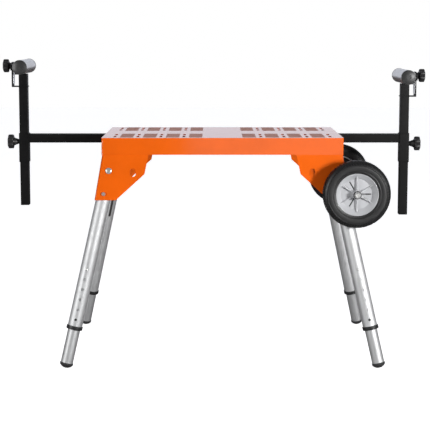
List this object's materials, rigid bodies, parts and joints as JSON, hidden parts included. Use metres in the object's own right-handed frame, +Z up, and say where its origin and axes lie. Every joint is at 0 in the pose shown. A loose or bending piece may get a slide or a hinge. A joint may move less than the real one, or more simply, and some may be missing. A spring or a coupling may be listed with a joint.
{
  "type": "mitre saw stand",
  "caption": "Folding saw stand: slotted steel deck on splayed telescopic legs, sliding end bars with rollers and work stops, and transport wheels.",
  "frame": {"origin": "floor level under the middle of the stand's overall box", "axes": "+X along the deck towards the wheels, -Y is the front, +Z up"},
  "size_m": [1.64, 0.6906, 1.1355],
  "materials": {
    "deck_orange": "gloss",
    "bracket_orange": "gloss",
    "grip_pad": "matte",
    "black_steel": "satin",
    "zinc": "satin",
    "leg_aluminium": "brushed",
    "inner_aluminium": "brushed",
    "foot_rubber": "matte",
    "black_plastic": "matte",
    "knob_plastic": "satin",
    "cap_plastic": "satin",
    "roller_metal": "satin",
    "stop_steel": "satin",
    "rim_silver": "satin",
    "tyre_rubber": "matte"
  },
  "bodies": {
    "deck": {"deck_panel": "deck_orange", "grip_pads": "grip_pad", "guide_tube": "black_steel", "wheel_brackets": "black_steel", "axle": "zinc", "axle_nuts": "zinc", "pivot_bolts": "zinc", "pivot_nuts": "zinc", "bracket_front_left": "bracket_orange", "bracket_front_right": "bracket_orange", "bracket_rear_left": "bracket_orange", "bracket_rear_right": "bracket_orange"},
    "leg_front_left": {"leg_tube_front_left": "leg_aluminium", "leg_collar_front_left": "black_plastic"},
    "lower_leg_front_left": {"leg_inner_front_left": "inner_aluminium", "foot_front_left": "foot_rubber"},
    "button_front_left": {"snap_button_front_left": "zinc"},
    "pin_front_left": {"lock_pin_front_left": "zinc"},
    "leg_front_right": {"leg_tube_front_right": "leg_aluminium", "leg_collar_front_right": "black_plastic"},
    "lower_leg_front_right": {"leg_inner_front_right": "inner_aluminium", "foot_front_right": "foot_rubber"},
    "button_front_right": {"snap_button_front_right": "zinc"},
    "pin_front_right": {"lock_pin_front_right": "zinc"},
    "leg_rear_left": {"leg_tube_rear_left": "leg_aluminium", "leg_collar_rear_left": "black_plastic"},
    "lower_leg_rear_left": {"leg_inner_rear_left": "inner_aluminium", "foot_rear_left": "foot_rubber"},
    "button_rear_left": {"snap_button_rear_left": "zinc"},
    "pin_rear_left": {"lock_pin_rear_left": "zinc"},
    "leg_rear_right": {"leg_tube_rear_right": "leg_aluminium", "leg_collar_rear_right": "black_plastic"},
    "lower_leg_rear_right": {"leg_inner_rear_right": "inner_aluminium", "foot_rear_right": "foot_rubber"},
    "button_rear_right": {"snap_button_rear_right": "zinc"},
    "pin_rear_right": {"lock_pin_rear_right": "zinc"},
    "bar_left": {"extension_bar_left": "black_steel"},
    "bar_knob_left": {"bar_lock_knob_left": "knob_plastic"},
    "sleeve_screw_left": {"sleeve_knob_left": "knob_plastic"},
    "upright_left": {"post_left": "black_steel", "roller_head_left": "black_steel", "roller_axle_left": "zinc", "roller_caps_left": "cap_plastic"},
    "roller_left": {"roller_tube_left": "roller_metal"},
    "stop_left": {"stop_plate_left": "stop_steel"},
    "stop_screw_left": {"stop_knob_left": "knob_plastic"},
    "bar_right": {"extension_bar_right": "black_steel"},
    "bar_knob_right": {"bar_lock_knob_right": "knob_plastic"},
    "sleeve_screw_right": {"sleeve_knob_right": "knob_plastic"},
    "upright_right": {"post_right": "black_steel", "roller_head_right": "black_steel", "roller_axle_right": "zinc", "roller_caps_right": "cap_plastic"},
    "roller_right": {"roller_tube_right": "roller_metal"},
    "stop_right": {"stop_plate_right": "stop_steel"},
    "stop_screw_right": {"stop_knob_right": "knob_plastic"},
    "wheel_front": {"rim_front": "rim_silver", "tyre_front": "tyre_rubber"},
    "wheel_rear": {"rim_rear": "rim_silver", "tyre_rear": "tyre_rubber"}
  },
  "joints": [
    {"name": "leg_fold_front_left", "type": "hinge", "parent": "deck", "child": "leg_front_left", "pos_m": [-0.392, -0.2161, 0.72311], "axis": [0, -0.9893, 0.1461], "range_deg": [0, 106.5]},
    {"name": "leg_extend_front_left", "type": "slide", "parent": "leg_front_left", "child": "lower_leg_front_left", "axis": [0.2139, 0.1427, 0.9664], "range_m": [-0.19, 0]},
    {"name": "button_press_front_left", "type": "slide", "parent": "leg_front_left", "child": "button_front_left", "axis": [0, 0.9893, -0.1461], "range_m": [0, 0.004], "stiffness_N_per_m": 400},
    {"name": "pin_pull_front_left", "type": "slide", "parent": "deck", "child": "pin_front_left", "axis": [0, -0.9893, 0.1461], "range_m": [0, 0.01], "stiffness_N_per_m": 500},
    {"name": "leg_fold_front_right", "type": "hinge", "parent": "deck", "child": "leg_front_right", "pos_m": [0.454, -0.2161, 0.72311], "axis": [0, 0.9893, -0.1461], "range_deg": [0, 98.1]},
    {"name": "leg_extend_front_right", "type": "slide", "parent": "leg_front_right", "child": "lower_leg_front_right", "axis": [-0.2139, 0.1427, 0.9664], "range_m": [-0.19, 0]},
    {"name": "button_press_front_right", "type": "slide", "parent": "leg_front_right", "child": "button_front_right", "axis": [0, 0.9893, -0.1461], "range_m": [0, 0.004], "stiffness_N_per_m": 400},
    {"name": "pin_pull_front_right", "type": "slide", "parent": "deck", "child": "pin_front_right", "axis": [0, -0.9893, 0.1461], "range_m": [0, 0.01], "stiffness_N_per_m": 500},
    {"name": "leg_fold_rear_left", "type": "hinge", "parent": "deck", "child": "leg_rear_left", "pos_m": [-0.392, 0.2161, 0.72311], "axis": [0, -0.9893, -0.1461], "range_deg": [0, 106.5]},
    {"name": "leg_extend_rear_left", "type": "slide", "parent": "leg_rear_left", "child": "lower_leg_rear_left", "axis": [0.2139, -0.1427, 0.9664], "range_m": [-0.19, 0]},
    {"name": "button_press_rear_left", "type": "slide", "parent": "leg_rear_left", "child": "button_rear_left", "axis": [0, -0.9893, -0.1461], "range_m": [0, 0.004], "stiffness_N_per_m": 400},
    {"name": "pin_pull_rear_left", "type": "slide", "parent": "deck", "child": "pin_rear_left", "axis": [0, 0.9893, 0.1461], "range_m": [0, 0.01], "stiffness_N_per_m": 500},
    {"name": "leg_fold_rear_right", "type": "hinge", "parent": "deck", "child": "leg_rear_right", "pos_m": [0.454, 0.2161, 0.72311], "axis": [0, 0.9893, 0.1461], "range_deg": [0, 98.1]},
    {"name": "leg_extend_rear_right", "type": "slide", "parent": "leg_rear_right", "child": "lower_leg_rear_right", "axis": [-0.2139, -0.1427, 0.9664], "range_m": [-0.19, 0]},
    {"name": "button_press_rear_right", "type": "slide", "parent": "leg_rear_right", "child": "button_rear_right", "axis": [0, -0.9893, -0.1461], "range_m": [0, 0.004], "stiffness_N_per_m": 400},
    {"name": "pin_pull_rear_right", "type": "slide", "parent": "deck", "child": "pin_rear_right", "axis": [0, 0.9893, 0.1461], "range_m": [0, 0.01], "stiffness_N_per_m": 500},
    {"name": "bar_slide_left", "type": "slide", "parent": "deck", "child": "bar_left", "axis": [1, 0, 0], "range_m": [0, 0.29]},
    {"name": "bar_knob_turn_left", "type": "hinge", "parent": "deck", "child": "bar_knob_left", "pos_m": [-0.369, 0, 0.8074], "axis": [0, 0, -1], "range_deg": [0, 360]},
    {"name": "sleeve_knob_turn_left", "type": "hinge", "parent": "bar_left", "child": "sleeve_screw_left", "pos_m": [-0.743, 0, 0.814], "axis": [-1, 0, 0], "range_deg": [0, 360]},
    {"name": "post_slide_left", "type": "slide", "parent": "bar_left", "child": "upright_left", "axis": [0, 0, 1], "range_m": [-0.12, 0.16]},
    {"name": "roller_spin_left", "type": "hinge", "parent": "upright_left", "child": "roller_left", "pos_m": [-0.739, 0, 1.107], "axis": [0, 1, 0], "continuous": true},
    {"name": "stop_slide_left", "type": "slide", "parent": "upright_left", "child": "stop_left", "axis": [0, 0, 1], "range_m": [0, 0.05]},
    {"name": "stop_knob_turn_left", "type": "hinge", "parent": "upright_left", "child": "stop_screw_left", "pos_m": [-0.743, 0, 1.11], "axis": [-1, 0, 0], "range_deg": [0, 360]},
    {"name": "bar_slide_right", "type": "slide", "parent": "deck", "child": "bar_right", "axis": [-1, 0, 0], "range_m": [0, 0.18]},
    {"name": "bar_knob_turn_right", "type": "hinge", "parent": "deck", "child": "bar_knob_right", "pos_m": [0.431, 0, 0.8074], "axis": [0, 0, -1], "range_deg": [0, 360]},
    {"name": "sleeve_knob_turn_right", "type": "hinge", "parent": "bar_right", "child": "sleeve_screw_right", "pos_m": [0.743, 0, 0.806], "axis": [1, 0, 0], "range_deg": [0, 360]},
    {"name": "post_slide_right", "type": "slide", "parent": "bar_right", "child": "upright_right", "axis": [0, 0, 1], "range_m": [-0.12, 0.16]},
    {"name": "roller_spin_right", "type": "hinge", "parent": "upright_right", "child": "roller_right", "pos_m": [0.739, 0, 1.069], "axis": [0, 1, 0], "continuous": true},
    {"name": "stop_slide_right", "type": "slide", "parent": "upright_right", "child": "stop_right", "axis": [0, 0, 1], "range_m": [0, 0.05]},
    {"name": "stop_knob_turn_right", "type": "hinge", "parent": "upright_right", "child": "stop_screw_right", "pos_m": [0.743, 0, 1.072], "axis": [1, 0, 0], "range_deg": [0, 360]},
    {"name": "wheel_spin_front", "type": "hinge", "parent": "deck", "child": "wheel_front", "pos_m": [0.523, -0.305, 0.649], "axis": [0, 1, 0], "continuous": true},
    {"name": "wheel_spin_rear", "type": "hinge", "parent": "deck", "child": "wheel_rear", "pos_m": [0.523, 0.305, 0.649], "axis": [0, 1, 0], "continuous": true}
  ]
}
